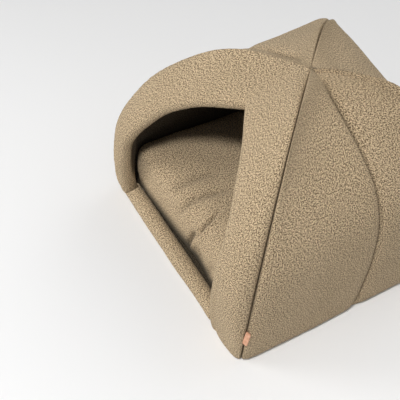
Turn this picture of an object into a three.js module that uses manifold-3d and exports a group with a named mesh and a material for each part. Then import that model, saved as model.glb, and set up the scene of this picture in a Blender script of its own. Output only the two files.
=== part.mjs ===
// A soft pet cave: a padded dome on a square base, sewn from wall panels that meet in two crossing
// ridges, with an arched opening in the front, a padded sill, a floor and a loose cushion inside.
// Millimetres, +Z up. The origin is the middle of the base, and the opening faces -Y.

import * as THREE from "three";
import { mergeVertices } from "three/addons/utils/BufferGeometryUtils.js";
import Module from "manifold-3d";

// Driving dimensions
const HALF_SIDE = 250;
const HEIGHT = 424;
const WALL = 32;
const RIDGE_WALL = 37;
const SEAM_DEPTH = 10;
const SEAM_WIDTH = 26;
const FRONT_CROWN = 5;
const GAP = 0.3;
const MIDDLE_SEAM = 0.06;
const APEX_HOLE = 3;
const APEX_REACH = 150;
const SILL = { radius: 18, middle: -230.3, flat: 2, left: -214, right: 160 };
const FLOOR = { half: 206, front: -209, thickness: 8, corner: 10 };
const CUSHION = { half: 214, widen: 3, middle: -0.5, draw: 2, boxed: 26 };
const TAG = { bottom: 78, height: 38, reach: 10, thickness: 2.4, lean: 15, seat: 1.3 };

// Sections of the dome from the floor to the apex. up is a share of the height. ridge, side and front
// are shares of half the base: how far out the sewn ridge, the middle of a side or back wall and the
// middle of the front stand. drop is how far a wall hangs below its ridges, as a share of the height.
// square tells how boxed the wall is between its ridges.
const SECTIONS = [
  { up: 0.0, ridge: 0.945, side: 0.96, front: 0.98, drop: 0, square: 7 },
  { up: 0.04, ridge: 0.982, side: 0.995, front: 0.99, drop: 0, square: 7 },
  { up: 0.12, ridge: 0.996, side: 1.015, front: 1.022, drop: 0, square: 7 },
  { up: 0.25, ridge: 0.99, side: 1.022, front: 1.07, drop: 0, square: 7 },
  { up: 0.38, ridge: 0.97, side: 1.022, front: 1.095, drop: 0, square: 7 },
  { up: 0.5, ridge: 0.945, side: 1.008, front: 1.095, drop: 0, square: 7 },
  { up: 0.6, ridge: 0.907, side: 0.978, front: 1.045, drop: 0, square: 6.5 },
  { up: 0.7, ridge: 0.85, side: 0.91, front: 0.96, drop: 0, square: 5.5 },
  { up: 0.8, ridge: 0.775, side: 0.77, front: 0.85, drop: 0, square: 4 },
  { up: 0.885, ridge: 0.675, side: 0.56, front: 0.69, drop: 0.005, square: 2.2 },
  { up: 0.955, ridge: 0.565, side: 0.32, front: 0.49, drop: 0.01, square: 1.6 },
  { up: 1.0, ridge: 0.46, side: 0.2, front: 0.31, drop: 0.025, square: 1.45 },
  { up: 1.02, ridge: 0.35, side: 0.14, front: 0.2, drop: 0.032, square: 1.4 },
  { up: 1.02, ridge: 0.2, side: 0.07, front: 0.1, drop: 0.023, square: 1.4 },
  { up: 1.0, ridge: 0.0, side: 0.0, front: 0.0, drop: 0, square: 1.4 },
];

// Middle line of the padded lip round the opening: its height as a share of the dome's height, its
// distance from the middle as a share of half the base, and how far it leans to the left at its foot.
const LIP = [
  { up: 0.0, half: 0.785, lean: 0.13 },
  { up: 0.12, half: 0.785, lean: 0.12 },
  { up: 0.25, half: 0.777, lean: 0.07 },
  { up: 0.38, half: 0.757, lean: 0.035 },
  { up: 0.5, half: 0.726, lean: 0.012 },
  { up: 0.62, half: 0.662, lean: 0 },
  { up: 0.735, half: 0.557, lean: 0 },
  { up: 0.82, half: 0.435, lean: 0 },
  { up: 0.893, half: 0.262, lean: 0 },
  { up: 0.957, half: 0.0, lean: 0 },
];

// Outline of the cushion from its underside round the side to the crown: the distance in from the edge
// and the height above its underside.
const CUSHION_OUTLINE = [
  { inset: 90, up: 0 },
  { inset: 22, up: 0 },
  { inset: 9, up: 3 },
  { inset: 3, up: 9 },
  { inset: 0, up: 18 },
  { inset: 0, up: 44 },
  { inset: 1, up: 70 },
  { inset: 4, up: 92 },
  { inset: 10, up: 109 },
  { inset: 22, up: 121 },
  { inset: 44, up: 128 },
  { inset: 90, up: 131 },
  { inset: 150, up: 132 },
];

// Soft creases in the cushion's top, each from a point near its front edge into the middle.
const CREASES = [
  { x: 2, y: -196, turn: 120, length: 105, width: 15, depth: 11 },
  { x: 34, y: -198, turn: 103, length: 70, width: 13, depth: 6 },
  { x: -70, y: -150, turn: 75, length: 90, width: 22, depth: 4 },
];
const PINCH = { x: 14, width: 42, depth: 6 };
const CREASE_RISE = 100;

// Mesh steps
const ROWS = 24;
const HALF_WALL_COLUMNS = 12;
const WALL_COLUMNS = 22;
const FRONT_STATIONS = 48;
const FRONT_COLUMNS = 8;
const BACK_COLUMNS = 4;
const LIP_STEPS = 6;
const CUSHION_STEPS = 96;
const ROLL_SEGMENTS = 22;
const CORNER_SEGMENTS = 6;
const FACE_SPREAD = 1.5;
const CROWN_FULLNESS = 0.6;
const CLOSE_ENOUGH = 1e-6;
const SAME_POINT = 1e-4;

const BOUCLE = { color: 0xb09a74, roughness: 0.95, metalness: 0 };
const BOUCLE_INSIDE = { color: 0xa8926d, roughness: 0.95, metalness: 0 };
const LEATHER = { color: 0xd09a78, roughness: 0.6, metalness: 0 };

const mix = THREE.MathUtils.lerp;
const ease = (share) => (1 - Math.cos(Math.PI * share)) / 2;
const steps = (count) => Array.from({ length: count + 1 }, (_, index) => index / count);

// Curves of the dome
const curveOf = (rows, out, up) =>
  new THREE.SplineCurve(rows.map((row) => new THREE.Vector2(out(row) * HALF_SIDE, up(row) * HEIGHT)));
const level = (row) => row.up;
const hung = (row) => row.up - row.drop;
const RIDGE = curveOf(SECTIONS, (row) => row.ridge, level);
const SIDE = curveOf(SECTIONS, (row) => row.side, hung);
const FRONT = curveOf(SECTIONS, (row) => row.front, hung);
const SQUARE = new THREE.SplineCurve(SECTIONS.map((row) => new THREE.Vector2(row.square, row.up)));
const LIP_LINE = curveOf(LIP, (row) => row.half, level);
const LIP_LEAN = curveOf(LIP, (row) => row.lean, level);

// The same profile on the inner side of the padding. Near the axis it only drops, and at the foot it
// only moves in, so that the inner skin never folds over itself.
function inside(curve, depth, spread) {
  return (station) => {
    const point = curve.getPoint(station);
    const tangent = curve.getTangent(station);
    const normal = new THREE.Vector2(-tangent.y, Math.min(tangent.x * spread, 0)).normalize();
    const near = Math.min(1, point.x / (2 * depth));
    point.x += (depth * normal.x * near) / spread;
    point.y = station === 0 ? 0 : point.y + depth * normal.y;
    return point;
  };
}

const outside = (curve) => (station) => curve.getPoint(station);
const insideRidge = inside(RIDGE, RIDGE_WALL, Math.SQRT2);
const skins = (middle) => ({
  outer: { ridge: outside(RIDGE), middle: outside(middle) },
  inner: { ridge: insideRidge, middle: inside(middle, WALL, 1) },
});
const SIDE_SKINS = skins(SIDE);
const FRONT_SKINS = skins(FRONT);

// A point of a wall between its two ridges. across runs from -1 on one ridge to 1 on the other.
function wallPoint(skin, station, across) {
  const ridge = skin.ridge(station);
  const middle = skin.middle(station);
  const fullness = 1 - Math.abs(across) ** SQUARE.getPoint(station).x;
  return {
    lateral: across * (ridge.x - GAP * Math.SQRT1_2),
    outward: mix(ridge.x, middle.x, fullness),
    up: mix(ridge.y, middle.y, fullness),
  };
}

const SET_IN_WALL = {
  right: (point) => new THREE.Vector3(point.outward, point.lateral, point.up),
  left: (point) => new THREE.Vector3(-point.outward, point.lateral, point.up),
  back: (point) => new THREE.Vector3(point.lateral, point.outward, point.up),
  front: (point) => new THREE.Vector3(point.lateral, -point.outward, point.up),
};

// How far the cloth is drawn in at a distance from a seam. Seams are shallower close to the apex.
function drawnIn(distance, reach) {
  const share = Math.max(0, 1 - distance / SEAM_WIDTH);
  return SEAM_DEPTH * share * share * Math.min(1, reach / APEX_REACH);
}

const towards = (from, to, distance) => from.clone().add(to.clone().sub(from).setLength(distance));

function closedGeometry(points, triangles) {
  const volume = triangles.reduce((sum, [a, b, c]) => {
    return sum + points[a].dot(points[b].clone().cross(points[c]));
  }, 0);
  const order = volume < 0 ? triangles.map(([a, b, c]) => [a, c, b]) : triangles;
  const geometry = new THREE.BufferGeometry().setFromPoints(points);
  geometry.setIndex(order.flat());
  geometry.computeVertexNormals();
  return geometry;
}

// Triangles of a grid whose points are numbered by index(row, column).
function gridTriangles(rows, columns, index, flip) {
  const triangles = [];
  for (let row = 0; row < rows; row += 1) {
    for (let column = 0; column < columns; column += 1) {
      const [a, b] = [index(row, column), index(row, column + 1)];
      const [c, d] = [index(row + 1, column + 1), index(row + 1, column)];
      triangles.push(flip ? [a, c, b] : [a, b, c], flip ? [a, d, c] : [a, c, d]);
    }
  }
  return triangles;
}

// A padded sheet: an outer and an inner grid of points, closed along all four edges. Both long edges are
// split the same way, so that neighbours stay parallel along their seam.
function paddedSheet(outer, inner) {
  const rows = outer.length - 1;
  const columns = outer[0].length - 1;
  const width = columns + 1;
  const points = [...outer.flat(), ...inner.flat()];
  const outerIndex = (row, column) => row * width + column;
  const innerIndex = (row, column) => (rows + 1) * width + row * width + column;
  const triangles = [
    ...gridTriangles(rows, columns, outerIndex, false),
    ...gridTriangles(rows, columns, innerIndex, true),
  ];
  const closeEdge = (length, at, turned) => {
    for (let step = 0; step < length; step += 1) {
      const [from, to] = [at(step), at(step + 1)];
      const [a, b] = [outerIndex(...from), outerIndex(...to)];
      const [c, d] = [innerIndex(...to), innerIndex(...from)];
      triangles.push(turned ? [a, d, b] : [a, c, b], turned ? [b, d, c] : [a, d, c]);
    }
  };
  closeEdge(columns, (step) => [0, step], false);
  closeEdge(rows, (step) => [step, columns], false);
  closeEdge(columns, (step) => [rows, columns - step], false);
  closeEdge(rows, (step) => [rows - step, 0], true);
  return closedGeometry(points, triangles);
}

// The last station below the apex, where the panels leave their small shared hole.
const LAST_STATION = 1 - APEX_HOLE / (SECTIONS.at(-2).ridge * HALF_SIDE) / (SECTIONS.length - 1);

// A wall panel between two seams. from and to are places across the wall. A seam that isn't a ridge
// keeps the gap to its neighbour on either side.
function wallPanel(wall, from, to, columns) {
  const outer = [];
  const inner = [];
  for (const share of steps(ROWS)) {
    const station = share * LAST_STATION;
    const ridge = RIDGE.getPoint(station).x;
    const half = GAP / ridge;
    const start = from === -1 ? from : from + half;
    const end = to === 1 ? to : to - half;
    const outerRow = [];
    const innerRow = [];
    for (const place of steps(columns)) {
      const across = mix(start, end, ease(place));
      const outerPoint = SET_IN_WALL[wall](wallPoint(SIDE_SKINS.outer, station, across));
      const innerPoint = SET_IN_WALL[wall](wallPoint(SIDE_SKINS.inner, station, across));
      const distance = Math.min(across - start, end - across) * ridge;
      outerRow.push(towards(outerPoint, innerPoint, drawnIn(distance, ridge)));
      innerRow.push(innerPoint);
    }
    outer.push(outerRow);
    inner.push(innerRow);
  }
  return paddedSheet(outer, inner);
}

// The station along the dome's profile at a height.
function stationAt(up) {
  let [low, high] = [0, 1];
  while (high - low > CLOSE_ENOUGH) {
    const middle = (low + high) / 2;
    [low, high] = RIDGE.getPoint(middle).y < up ? [middle, high] : [low, middle];
  }
  return up <= 0 ? 0 : (low + high) / 2;
}

// One section of the front panel, from the ridge round the padded lip and back. way runs from -1 at one
// foot over the apex to 1 at the other foot, and extra swells the panel.
function frontSection(way, extra) {
  const rise = 1 - Math.abs(way);
  const side = Math.sign(way);
  const ridgeStation = rise === 0 ? 0 : RIDGE.getUtoTmapping(rise) * LAST_STATION;
  const lipPlace = LIP_LINE.getUtoTmapping(rise);
  const lip = LIP_LINE.getPoint(lipPlace);
  const lipReach = side * lip.x - LIP_LEAN.getPoint(lipPlace).x;
  const lipStation = stationAt(lip.y);
  const ridgeReach = RIDGE.getPoint(ridgeStation).x;
  const pair = (share) => {
    const station = mix(ridgeStation, lipStation, share);
    const reach = mix(side * ridgeReach, lipReach, share);
    const across = reach / RIDGE.getPoint(station).x;
    const outer = SET_IN_WALL.front(wallPoint(FRONT_SKINS.outer, station, across));
    const inner = SET_IN_WALL.front(wallPoint(FRONT_SKINS.inner, station, across));
    return { outer: towards(outer, inner, -extra), inner: towards(inner, outer, -extra) };
  };
  const seam = pair(0).outer;
  const face = steps(FRONT_COLUMNS).map((step) => {
    const share = step ** FACE_SPREAD;
    const { outer, inner } = pair(share);
    const crown = FRONT_CROWN * (4 * share * (1 - share)) ** CROWN_FULLNESS;
    return towards(outer, inner, drawnIn(outer.distanceTo(seam), ridgeReach) - crown);
  });
  const back = steps(BACK_COLUMNS).map((share) => pair(1 - share).inner);
  const middle = face.at(-1).clone().lerp(back[0], 0.5);
  const radius = face.at(-1).clone().sub(middle);
  const ahead = face.at(-1).clone().sub(face.at(-3));
  ahead.addScaledVector(radius, -ahead.dot(radius) / radius.lengthSq()).setLength(radius.length());
  const lipArc = steps(LIP_STEPS).slice(1, -1).map((share) => {
    const angle = Math.PI * share;
    return middle.clone().addScaledVector(radius, Math.cos(angle)).addScaledVector(ahead, Math.sin(angle));
  });
  const section = [...face, ...lipArc, ...back];
  if (rise === 0) {
    section.forEach((point) => point.setZ(0));
  }
  return section;
}

// The front panel: sections along the arch, closed by a flat foot at either end.
function frontPanel(extra) {
  const sections = steps(FRONT_STATIONS).map((share) => frontSection(2 * share - 1, extra));
  const count = sections[0].length;
  const points = sections.flat();
  const index = (row, column) => row * count + (column % count);
  const triangles = gridTriangles(FRONT_STATIONS, count, index, false);
  const outlineOf = (row) => sections[row].map((point) => new THREE.Vector2(point.x, point.y));
  const foot = (row, flip) => {
    for (const corners of THREE.ShapeUtils.triangulateShape(outlineOf(row), [])) {
      const face = corners.map((corner) => index(row, corner));
      triangles.push(flip ? face.reverse() : face);
    }
  };
  const clockwise = (row) => THREE.ShapeUtils.isClockWise(outlineOf(row));
  foot(0, !clockwise(0));
  foot(FRONT_STATIONS, clockwise(FRONT_STATIONS));
  return closedGeometry(points, triangles);
}

// Booleans on closed meshes
const wasm = await Module();
wasm.setup();

function toSolid(geometry) {
  const bare = geometry.clone();
  bare.deleteAttribute("normal");
  bare.deleteAttribute("uv");
  const merged = mergeVertices(bare, SAME_POINT);
  const mesh = new wasm.Mesh({
    numProp: 3,
    vertProperties: new Float32Array(merged.attributes.position.array),
    triVerts: new Uint32Array(merged.index.array),
  });
  return new wasm.Manifold(mesh);
}

function toGeometry(solid) {
  const mesh = solid.getMesh();
  const geometry = new THREE.BufferGeometry();
  geometry.setAttribute("position", new THREE.BufferAttribute(new Float32Array(mesh.vertProperties), 3));
  geometry.setIndex(Array.from(mesh.triVerts));
  geometry.computeVertexNormals();
  return geometry;
}

const extruded = (outline, depth, curveSegments) =>
  new THREE.ExtrudeGeometry(outline, { depth, bevelEnabled: false, curveSegments });

// The sill: a padded roll with a flat underside, fitted between the two feet of the front panel.
function sill() {
  const { radius, middle, flat, left, right } = SILL;
  const under = Math.asin((radius - flat) / radius);
  const outline = new THREE.Shape().absarc(0, radius - flat, radius, -under, Math.PI + under);
  const roll = extruded(outline, right - left, ROLL_SEGMENTS);
  roll.rotateX(Math.PI / 2).rotateZ(Math.PI / 2).translate(left, middle, 0);
  return toGeometry(toSolid(roll).subtract(toSolid(frontPanel(GAP))));
}

// The floor: a thin pad with rounded corners inside the walls and behind the sill.
function floorPad() {
  const { half, front, thickness, corner } = FLOOR;
  const outline = new THREE.Shape();
  outline.absarc(half - corner, half - corner, corner, 0, Math.PI / 2);
  outline.absarc(corner - half, half - corner, corner, Math.PI / 2, Math.PI);
  outline.absarc(corner - half, front + corner, corner, Math.PI, 1.5 * Math.PI);
  outline.absarc(half - corner, front + corner, corner, 1.5 * Math.PI, 2 * Math.PI);
  return extruded(outline, thickness, CORNER_SEGMENTS);
}

// How deep the cushion's creases are at a place on its top.
function creaseDepth(x, y) {
  return CREASES.reduce((sum, { x: x0, y: y0, turn, length, width, depth }) => {
    const angle = THREE.MathUtils.degToRad(turn);
    const along = (x - x0) * Math.cos(angle) + (y - y0) * Math.sin(angle);
    const aside = (y - y0) * Math.cos(angle) - (x - x0) * Math.sin(angle);
    const end = Math.min(1, Math.max(0, 1 - along / length)) * Math.min(1, Math.max(0, 1 + along / width));
    return sum + depth * end * Math.exp(-((aside / width) ** 2));
  }, 0);
}

// The cushion: a filled pad with a crowned top, drawn in along its sides and pinched at the front.
function cushion() {
  const { half, widen, middle, draw, boxed } = CUSHION;
  const foot = FLOOR.thickness + GAP;
  const rings = CUSHION_OUTLINE.map(({ inset, up }) => {
    return steps(CUSHION_STEPS).slice(0, -1).map((turn) => {
      const [a, b] = [Math.cos(2 * Math.PI * turn), Math.sin(2 * Math.PI * turn)];
      const reach = half / (Math.abs(a) ** boxed + Math.abs(b) ** boxed) ** (1 / boxed);
      const out = reach - draw * (a * a - b * b) ** 2 - inset;
      const aside = (a * out - PINCH.x) / PINCH.width;
      const pinch = b < 0 ? PINCH.depth * Math.exp(-aside * aside - inset / PINCH.width) : 0;
      const [x, y] = [a * (out + widen), middle + b * out + pinch];
      return new THREE.Vector3(x, y, foot + up - creaseDepth(x, y) * Math.min(1, up / CREASE_RISE));
    });
  });
  const points = rings.flat();
  const index = (row, column) => row * CUSHION_STEPS + (column % CUSHION_STEPS);
  const triangles = gridTriangles(rings.length - 1, CUSHION_STEPS, index, false);
  const close = (row, up, flip) => {
    const centre = points.push(new THREE.Vector3(0, middle, foot + up)) - 1;
    for (let column = 0; column < CUSHION_STEPS; column += 1) {
      const [a, b] = [index(row, column), index(row, column + 1)];
      triangles.push(flip ? [centre, b, a] : [centre, a, b]);
    }
  };
  close(0, CUSHION_OUTLINE[0].up, true);
  close(rings.length - 1, CUSHION_OUTLINE.at(-1).up, false);
  return closedGeometry(points, triangles);
}

// The tag: a short folded strip that stands out of the front right seam, leaning on the right wall.
function tag() {
  const { height, reach, thickness } = TAG;
  const outline = new THREE.Shape();
  outline.moveTo(0, -thickness / 4);
  outline.lineTo(reach - thickness / 2, -thickness / 2);
  outline.absarc(reach - thickness / 2, 0, thickness / 2, -Math.PI / 2, Math.PI / 2);
  outline.lineTo(0, thickness / 4);
  return extruded(outline, height, CORNER_SEGMENTS);
}

const bed = new THREE.Group();

function addPiece(name, geometry, look) {
  const mesh = new THREE.Mesh(geometry, new THREE.MeshStandardMaterial(look));
  mesh.name = name;
  bed.add(mesh);
  return mesh;
}

addPiece("front_panel", frontPanel(0), BOUCLE);
addPiece("sill", sill(), BOUCLE);
for (const wall of ["right", "left"]) {
  addPiece(`${wall}_front_panel`, wallPanel(wall, -1, MIDDLE_SEAM, HALF_WALL_COLUMNS), BOUCLE);
  addPiece(`${wall}_rear_panel`, wallPanel(wall, MIDDLE_SEAM, 1, HALF_WALL_COLUMNS), BOUCLE);
}
addPiece("back_panel", wallPanel("back", -1, 1, WALL_COLUMNS), BOUCLE);
addPiece("floor_pad", floorPad(), BOUCLE_INSIDE);
addPiece("cushion", cushion(), BOUCLE_INSIDE);

const tagPiece = addPiece("tag", tag(), LEATHER);
const tagSeam = RIDGE.getPoint(stationAt(TAG.bottom + TAG.height / 2)).x - SEAM_DEPTH * Math.SQRT1_2;
tagPiece.position.set(tagSeam + TAG.seat, -tagSeam - TAG.seat, TAG.bottom);
tagPiece.rotation.z = THREE.MathUtils.degToRad(TAG.lean);

export default bed;
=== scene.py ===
import math

import bmesh
import bpy
import numpy as np
from mathutils import Matrix, Vector


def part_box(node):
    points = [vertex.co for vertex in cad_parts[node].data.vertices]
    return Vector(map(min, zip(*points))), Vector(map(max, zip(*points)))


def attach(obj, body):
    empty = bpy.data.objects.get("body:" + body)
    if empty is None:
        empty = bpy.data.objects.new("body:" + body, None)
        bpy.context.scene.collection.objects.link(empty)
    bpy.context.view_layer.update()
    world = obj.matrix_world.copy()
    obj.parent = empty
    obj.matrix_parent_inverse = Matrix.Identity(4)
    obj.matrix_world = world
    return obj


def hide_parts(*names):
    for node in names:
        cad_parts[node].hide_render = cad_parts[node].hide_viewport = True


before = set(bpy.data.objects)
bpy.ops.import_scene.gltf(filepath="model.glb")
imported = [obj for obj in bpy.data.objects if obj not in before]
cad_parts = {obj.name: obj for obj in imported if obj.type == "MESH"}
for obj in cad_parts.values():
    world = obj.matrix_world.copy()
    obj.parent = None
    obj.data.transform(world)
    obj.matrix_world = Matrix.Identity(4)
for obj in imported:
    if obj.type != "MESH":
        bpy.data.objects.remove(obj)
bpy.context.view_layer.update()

# A padded pet cave: panels of looped cloth that meet in two crossing ridges, an arched opening with a sill,
# and a loose cushion. Lengths are in metres. A station runs from 0 at the foot of a ridge to 1 at the apex,
# a reach is how far a point lies from the middle, measured along a side, and across runs from -1 on a wall's
# first ridge to 1 on its last.

# Form of the hood

HALF_SIDE = 0.250
HEIGHT = 0.424
# thickness of the padding in the middle of a wall and at a ridge
WALL = 0.032
RIDGE_WALL = 0.037
# gap between two pieces, reach of the hole at the apex, and top of the floor pad
GAP = 0.0003
APEX_HOLE = 0.003
FLOOR = 0.008
# where the middle seam of the side walls lies across
MIDDLE_SEAM = 0.06

# from the foot to the apex: height, reach of the ridge, reach of the side walls and of the front in their
# middle, how far the middle lies below the ridge, and how square the section is. Heights are shares of
# HEIGHT, reaches and widths of HALF_SIDE
SECTIONS = np.array([
    (0.0, 0.945, 0.96, 0.98, 0, 7),
    (0.04, 0.982, 0.995, 0.99, 0, 7),
    (0.12, 0.996, 1.015, 1.022, 0, 7),
    (0.25, 0.99, 1.022, 1.07, 0, 7),
    (0.38, 0.97, 1.022, 1.095, 0, 7),
    (0.5, 0.945, 1.008, 1.095, 0, 7),
    (0.6, 0.907, 0.978, 1.045, 0, 6.5),
    (0.7, 0.85, 0.91, 0.96, 0, 5.5),
    (0.8, 0.775, 0.77, 0.85, 0, 4),
    (0.885, 0.675, 0.56, 0.69, 0.005, 2.2),
    (0.955, 0.565, 0.32, 0.49, 0.01, 1.6),
    (1.0, 0.46, 0.2, 0.31, 0.025, 1.45),
    (1.02, 0.35, 0.14, 0.2, 0.032, 1.4),
    (1.02, 0.2, 0.07, 0.1, 0.023, 1.4),
    (1.0, 0.0, 0.0, 0.0, 0, 1.4),
])
# the opening's edge from its foot to its top: height, half of its width, and how far it leans to the left
LIP = np.array([
    (0.0, 0.785, 0.13),
    (0.12, 0.785, 0.12),
    (0.25, 0.777, 0.07),
    (0.38, 0.757, 0.035),
    (0.5, 0.726, 0.012),
    (0.62, 0.662, 0),
    (0.735, 0.557, 0),
    (0.82, 0.435, 0),
    (0.893, 0.262, 0),
    (0.957, 0.0, 0),
])
UP, RIDGE_OUT, SIDE_OUT, FRONT_OUT, DROP, SQUARE = SECTIONS.T
LIP_UP, LIP_HALF, LIP_AWAY = LIP.T
RIDGE = np.stack([RIDGE_OUT * HALF_SIDE, UP * HEIGHT], 1)
SIDE = np.stack([SIDE_OUT * HALF_SIDE, (UP - DROP) * HEIGHT], 1)
FRONT = np.stack([FRONT_OUT * HALF_SIDE, (UP - DROP) * HEIGHT], 1)
SQUARES = np.stack([SQUARE, UP], 1)
LIP_LINE = np.stack([LIP_HALF * HALF_SIDE, LIP_UP * HEIGHT], 1)
LIP_LEAN = np.stack([LIP_AWAY * HALF_SIDE, LIP_UP * HEIGHT], 1)
# the last station, at the rim of the hole at the apex
LAST = 1 - APEX_HOLE / RIDGE[-2, 0] / (len(SECTIONS) - 1)

# Seams

# the seams at the first and at the last ridge of each wall
WALL_SEAMS = {
    "right": ("front_right", "back_right"),
    "left": ("front_left", "back_left"),
    "back": ("back_left", "back_right"),
}
FRONT_SEAMS = ("front_left", "front_right")
# the reach at which a seam starts to sink, and at which it is sunk fully
SINKS = {
    "front_right": (0.0, 0.05),
    "front_left": (0.08, 0.18),
    "back_left": (0.0, 0.05),
    "back_right": (0.0, 0.03),
    "middle": (0.07, 0.125),
}
# depth and width of the rounded edge of a panel along a seam
SEAM = (0.013, 0.026)
# the share of the depth that a seam has at its foot, and the station from which it has all of it
SEAM_FOOT = {"station": 0.07, "share": 0.4}
# depth and width of the crisper edges on the right, and the stations between which they set in
SEAM_AT = {
    ("right", "front_right"): (0.011, 0.012),
    ("right", "back_right"): (0.020, 0.010),
    ("back", "back_right"): (0.018, 0.009),
}
CRISP_FROM, CRISP_AT = 0.2, 0.35
# the narrow slot in the middle of every seam
SLOT = {"depth": 0.0035, "width": 0.0014}
# the rolled rim along the right wall's far edge and the groove beside it: height, distance and width
RIM_EDGE = ("right", "back_right")
RIM = [(0.005, 0.012, 0.007), (-0.004, 0.028, 0.005)]

# How the cloth hangs and bulges

# how far it hangs in at the shoulder, at even places across the wall
SAG = {
    "left": np.array([0.0, 0.008, 0.012, 0.0125, 0.009, 0.003]),
    "back": np.array([0.001, 0.001, 0.008, 0.013, 0.011, 0.0]),
}
SHOULDER = {"station": 0.565, "width": 0.16}
# the far corner: its seam is folded deeper over a length of the ridge, and the cloth round it is pushed out
CORNER = {"seam": "back_left", "station": 0.67, "length": 0.15, "more": 0.3, "fold": 0.012, "width": 0.03}
CORNER_PUSH = {"place": (-0.135, 0.135, 0.39), "reach": 0.06, "way": (0.006, 0.008, -0.002)}
# how far the padding bulges between two seams under the apex
BULGE = {
    "right_front_wall": 0.011,
    "right_rear_wall": 0.004,
    "left_front_wall": 0.005,
    "left_rear_wall": 0.003,
    "back_wall": 0.003,
}
BULGE_AT = {"station": 0.84, "width": 0.13}
# where the cushion presses the left wall's padding in: depth, place and size of the dent
PRESSED = {
    "panel": "left_front_wall", "depth": 0.007,
    "along": -0.14, "length": 0.1, "up": 0.065, "height": 0.07,
}
# how far the front bulges between its seam and the opening, and how full that curve is
FRONT_CROWN = {"height": 0.005, "power": 0.6}
# how far the arch's edge stands above the opening's plain curve, at even places from its left foot to its
# right, and the share of the padding that is taken off behind it
LIP_LIFT = np.array([0.0, 0.0, -0.003, 0.002, 0.002, 0.0, 0.0])
LIP_THIN = np.array([0.0, 0.3, 0.22, 0.16, 0.28, 0.05, 0.0])

# Where the pile is drawn darker: on the hood's inner side, along the seams, and as painted shade

# in every seam, a dark stitched line with painted shade: how dark, how wide, and the station up to
# which it sets in
STITCH_AND_SEAM_SHADE = {"shade": 0.5, "width": 0.0020, "station": 0.1}
# painted shade beside the far right seam near the apex: how dark, how wide, how hard its edge is, how far
# down, and the reach over which it sets in
PAINTED_CREVICE_SHADE = {"seam": "back_right", "shade": 0.8, "width": 0.0150, "edge": 8, "length": 0.05, "starts": 0.012}
# the hood's inner side, drawn darker: from which share of the arch's rounded edge and over which share, and
# between which heights at its feet
INNER_DARK_FROM, INNER_DARK_OVER = 0.78, 0.15
INNER_DARK_FOOT = (0.05, 0.09)
# painted shade in the cushion's creases, fully at this depth, and on its foot below this height, setting
# in over a height
PAINTED_CREASE_AND_GAP_SHADE = {"depth": 0.0075, "shade": 0.55, "gap": 0.064, "over": 0.03}
# painted shade on the sill's back, below this height in radii
SILL_SHADE_TOP = 1.6

# The cushion

# inset and height of its outline in millimetres: its foot, and from there to its crown
CUSHION_FOOT = [(90, 0), (22, 0), (9, 3), (3, 9), (0, 18)]
CUSHION_OUTLINE = np.array(CUSHION_FOOT + [
    (0, 44), (1, 70), (4, 92), (10, 109), (22, 121), (44, 128), (90, 131), (150, 132),
]) / 1000
# the same where the filling has settled, at the front
CUSHION_FRONT = np.array(CUSHION_FOOT + [
    (0, 38), (3, 60), (9, 80), (19, 99), (34, 113), (58, 124), (100, 130), (150, 132),
]) / 1000
# and where it is full, at the left
CUSHION_LEFT = np.array(CUSHION_FOOT + [
    (0, 44), (0, 72), (1, 97), (4, 114), (12, 125), (32, 131), (80, 133), (150, 132),
]) / 1000
# half of its side, how much wider than deep it is, its middle, how far its sides draw in, how boxed it is
CUSHION = {"half": 0.214, "widen": 0.003, "middle": -0.0005, "draw": 0.002, "boxed": 26}
# the shares of the last ring at which further rings close the crown
CROWN_SHARES = (0.75, 0.5, 0.25, 0.06)
# where its front is pinched in
PINCH = {"x": 0.014, "width": 0.042, "depth": 0.004}
# how much fuller its left side is, from which height and within which inset
FULL = {"left": 0.005, "up": 0.06, "inset": 0.06}
# how much fuller its front left corner is: to the left, to the front, in a share of its rounding up to a
# most, and from which height
FULL_CORNER = {"left": 0.006, "front": 0.003, "share": 0.75, "most": 0.02, "up": 0.05}
# how far its front stands back from the sill below a height, from the left to the right of a span
TUCK = {"left": 0.0032, "right": 0.008, "span": 0.3, "height": 0.075}
# width and depth of each crease, and the points in millimetres that it runs through
CREASES = [
    (0.0050, 0.0075, [
        (6, -205, 71), (9, -198, 93), (9, -192, 107), (10, -180, 119), (8, -168, 127), (2, -153, 132),
    ]),
    (0.0065, 0.0090, [(-12, -208, 34), (-9, -207, 52), (-5, -204, 75), (-4, -201, 86)]),
    (0.0085, 0.0050, [
        (-59, -209, 83), (-50, -198, 106), (-47, -182, 122), (-35, -138, 136), (-28, -106, 139),
    ]),
    (0.0110, 0.0040, [(-97, -203, 113), (-88, -186, 126), (-83, -152, 136), (-77, -111, 140)]),
    (0.0080, 0.0035, [(18, -206, 64), (34, -206, 56)]),
    (0.0080, 0.0035, [(68, -208, 46), (77, -205, 78)]),
]
# the share of a crease's length over which it runs out, and the share of its depth that its ends keep
CREASE_ENDS = {"over": 0.3, "keep": 0.25}
# the roll on a crease's right: height in shares of the depth, distance in widths
CREASE_ROLL = {"height": 0.6, "distance": 1.7}

# The sill and the tag

# how far the sill's ends are drawn in from the arch's feet, and over which length
SILL_ENDS = {"drawn": 0.005, "length": 0.1}
# how far the tag stands out, its height, its strip's thickness, its sides' bow, and half of the gap inside
TAG = {"reach": 0.0100, "height": 0.034, "strip": 0.0009, "bow": 0.0004, "inner": 0.0003}
# how far its top and foot are rounded off, and over which height
TAG_ENDS = {"cut": 0.0006, "height": 0.0012}
# its turn in degrees, how far it leans in its middle, and how far its foot is shifted along the seam
TAG_LEAN = {"turn": 15, "middle": 0.0008, "foot": 0.0035}

# The cloth's unevenness

# how far the filling and the pile's curls stand out, and their grains. FINE_SWELL is a share of the swell
SWELL, SWELL_GRAIN = 0.0012, 0.085
FINE_SWELL, FINE_SWELL_GRAIN = 0.5, 0.04
CURL, CURL_GRAIN = 0.0004, 0.0042
CUSHION_SWELL = 0.0016
FLOOR_SWELL, FLOOR_CURL = 0.0003, 0.0002
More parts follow.
